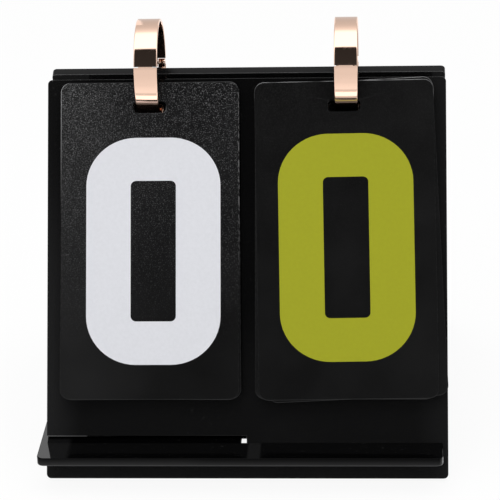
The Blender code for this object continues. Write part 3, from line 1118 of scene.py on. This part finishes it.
def makeFloor():
    half = studio["floorSize"] / 2
    low, high = studio["floorLevels"]
    mesh = boxMesh("floor", (-half, -half, low), (half, half, high))
    floor = Finish("paleFloor", studio["floorColour"], studio["floorRoughness"])
    tree = floor.tree
    path = floor.nodes.new("ShaderNodeLightPath")
    firstLook = combine(tree, "LESS_THAN", path.outputs["Ray Depth"], studio["depths"][0])
    reflected = combine(tree, "MULTIPLY", path.outputs["Is Glossy Ray"], firstLook)
    # The left ring hangs a little steeper, so it sees the same bands closer by
    closer = combine(tree, "ADD", floor.along(*studio["leftCloser"]), 1.0)
    away = combine(tree, "MULTIPLY", combine(tree, "ABSOLUTE", floor.axis["Y"]), closer)
    bands = brightnessTable(tree, away, studio["table"])
    seen = combine(tree, "MAXIMUM", bands, floor.within(studio["beside"]))
    seen = combine(tree, "MULTIPLY", combine(tree, "SUBTRACT", seen, 1.0), reflected)
    direct = combine(tree, "MULTIPLY", path.outputs["Is Camera Ray"], 1 - studio["shadowShare"])
    glow = floor.nodes.new("ShaderNodeEmission")
    glow.inputs["Color"].default_value = (1.0, 1.0, 1.0, 1.0)
    mix = floor.nodes.new("ShaderNodeMixShader")
    floor.links.new(combine(tree, "ADD", seen, 1.0), glow.inputs["Strength"])
    floor.links.new(combine(tree, "MAXIMUM", direct, reflected), mix.inputs["Fac"])
    floor.links.new(floor.shader.outputs["BSDF"], mix.inputs[1])
    floor.links.new(glow.outputs["Emission"], mix.inputs[2])
    floor.links.new(mix.outputs["Shader"], floor.nodes["Material Output"].inputs["Surface"])
    addObject("floor", mesh, floor.material)


def makeWorld():
    # White to the camera; to the rest a pale room with a dark end in front of the object
    world = bpy.data.worlds.new("studio")
    bpy.context.scene.world = world
    world.use_nodes = True
    tree = world.node_tree
    nodes, links = tree.nodes, tree.links
    where = nodes.new("ShaderNodeTexCoord")
    parts = nodes.new("ShaderNodeSeparateXYZ")
    links.new(where.outputs["Generated"], parts.inputs["Vector"])
    ahead = combine(tree, "MULTIPLY", parts.outputs["Y"], -1.0)
    rise = combine(tree, "ARCTAN2", parts.outputs["Z"], ahead)
    rise = combine(tree, "MULTIPLY", rise, 180 / math.pi)
    behind = combine(tree, "LESS_THAN", rise, studio["roomSeam"])
    rise = combine(tree, "ADD", rise, combine(tree, "MULTIPLY", behind, 360.0))
    room = brightnessTable(tree, rise, studio["room"])
    aside = combine(tree, "ABSOLUTE", parts.outputs["X"])
    walls = []
    for look in (studio["sideWalls"], studio["backWall"]):
        walls.append(ramp(tree, aside, *look["aside"], 0.0, look["bright"]))
    far = combine(tree, "GREATER_THAN", parts.outputs["Y"], studio["backWall"]["from"])
    seen = strongest(tree, (room, walls[0], combine(tree, "MULTIPLY", walls[1], far)))
    path = nodes.new("ShaderNodeLightPath")
    glossy = path.outputs["Is Glossy Ray"]
    again = combine(tree, "GREATER_THAN", path.outputs["Ray Depth"], studio["depths"][1])
    dimmed = combine(tree, "MULTIPLY", again, 1 - studio["secondLook"])
    seen = product(tree, (seen, combine(tree, "SUBTRACT", 1.0, dimmed), glossy))
    other = combine(tree, "SUBTRACT", 1.0, glossy)
    light = combine(tree, "ADD", seen, combine(tree, "MULTIPLY", other, studio["wallLight"]))
    light = combine(tree, "MAXIMUM", light, path.outputs["Is Camera Ray"])
    background = nodes["Background"]
    background.inputs["Color"].default_value = (1.0, 1.0, 1.0, 1.0)
    links.new(light, background.inputs["Strength"])


lamps = {
    "overhead": {
        "place": (0.0, -0.05, 1.1),
        "aim": (0.0, -0.05, 0.0),
        "size": (1.3, 1.05),
        "radiance": 1.95,
    },
    "frontFill": {
        "place": (-0.5, -1.2, 1.1),
        "aim": (0.0, 0.0, 0.06),
        "size": (0.9, 0.9),
        "radiance": 1.95,
    },
}


def makeLamp(name, look):  # shiny pieces don't see the lamps
    data = bpy.data.lights.new(name, "AREA")
    data.shape = "RECTANGLE"
    data.size, data.size_y = look["size"]
    data.energy = look["radiance"] * math.pi * data.size * data.size_y
    lamp = bpy.data.objects.new(name, data)
    bpy.context.scene.collection.objects.link(lamp)
    place = Vector(look["place"])
    turn = (Vector(look["aim"]) - place).to_track_quat("-Z", "Y")
    lamp.matrix_world = Matrix.Translation(place) @ turn.to_matrix().to_4x4()
    lamp.visible_glossy = False
    lamp.visible_camera = False


cameraLook = {  # fitted to the photograph: metres, radians and millimetres
    "place": (0.049, -0.7722, 0.3857),
    "yaw": 0.06306,
    "pitch": 0.39949,
    "roll": -0.02919,
    "lens": 165.6,
    "sensor": 36.0,
    "nearest": 0.01,
}


def makeCamera():
    yaw, pitch, roll = (cameraLook[turn] for turn in ("yaw", "pitch", "roll"))
    level = Vector((-math.sin(yaw), math.cos(yaw), 0))
    ahead = level * math.cos(pitch) - Vector((0, 0, math.sin(pitch)))
    right = Vector((math.cos(yaw), math.sin(yaw), 0))
    up = right.cross(ahead)
    right, up = (
        right * math.cos(roll) + up * math.sin(roll),
        up * math.cos(roll) - right * math.sin(roll),
    )
    data = bpy.data.cameras.new("camera")
    data.lens = cameraLook["lens"]
    data.sensor_width = cameraLook["sensor"]
    data.sensor_fit = "HORIZONTAL"
    data.clip_start = cameraLook["nearest"]
    camera = bpy.data.objects.new("camera", data)
    bpy.context.scene.collection.objects.link(camera)
    turned = Matrix((right, up, -ahead)).transposed().to_4x4()
    camera.matrix_world = Matrix.Translation(cameraLook["place"]) @ turned
    bpy.context.scene.camera = camera


makeFloor()
makeWorld()
for name, look in lamps.items():
    makeLamp(name, look)
makeCamera()
bpy.context.scene.view_settings.view_transform = "Standard"
print("table, lights and camera made")
